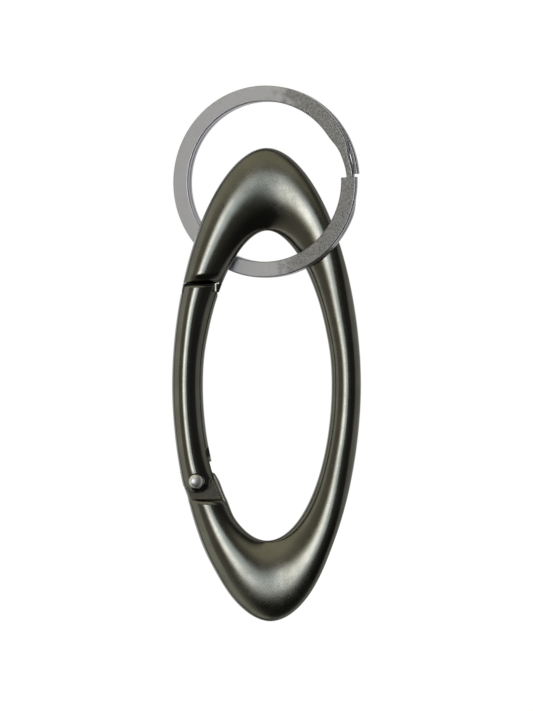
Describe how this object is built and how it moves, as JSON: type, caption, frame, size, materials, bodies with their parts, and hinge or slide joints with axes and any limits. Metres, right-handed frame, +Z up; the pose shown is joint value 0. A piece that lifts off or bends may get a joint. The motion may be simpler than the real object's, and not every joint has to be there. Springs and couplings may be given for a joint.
{
  "type": "oval snap carabiner with split ring",
  "caption": "Oval metal carabiner with thick saddle-shaped ends, an inward sprung gate on a rivet, and a flat split ring linked round its upper end.",
  "frame": {"origin": "the point inside the top of the carabiner's opening that a hook or loop would carry", "axes": "+Z up towards the split ring, the carabiner's plane is XZ, its front faces -Y and its gate is on the -X side"},
  "size_m": [0.0298, 0.0154, 0.0836],
  "materials": {
    "gunmetal_plating": "dark black-nickel plating on a die casting, satin",
    "bright_steel": "bright riveted steel",
    "spring_steel": "plain drawn spring wire",
    "follower_brass": "turned brass",
    "ring_nickel": "satin nickel plating on flat wire"
  },
  "bodies": {
    "hook": {"hook_body": "gunmetal_plating"},
    "gate": {"gate": "gunmetal_plating", "hinge_rivet": "bright_steel", "return_spring": "spring_steel"},
    "follower": {"spring_follower": "follower_brass"},
    "ring": {"split_ring": "ring_nickel"}
  },
  "joints": [
    {"name": "gate_hinge", "type": "hinge", "parent": "hook", "child": "gate", "pos_m": [-0.01149, 0, -0.03935], "axis": [0, 1, 0], "range_deg": [0, 26], "stiffness_Nm_per_rad": 0.012, "springref_deg": -28.65},
    {"name": "follower_slide", "type": "slide", "parent": "gate", "child": "follower", "axis": [-0.2504, 0, 0.9681], "range_m": [0, 0.00042], "deforming": ["return_spring"]},
    {"name": "ring_swivel", "type": "hinge", "parent": "hook", "child": "ring", "pos_m": [-0.0001, 0, 0.00735], "axis": [0, 0, -1], "range_deg": [0, 126]}
  ],
  "couplings": [
    {"joint": "follower_slide", "follows": "gate_hinge", "m_per_rad": 0.00086}
  ]
}
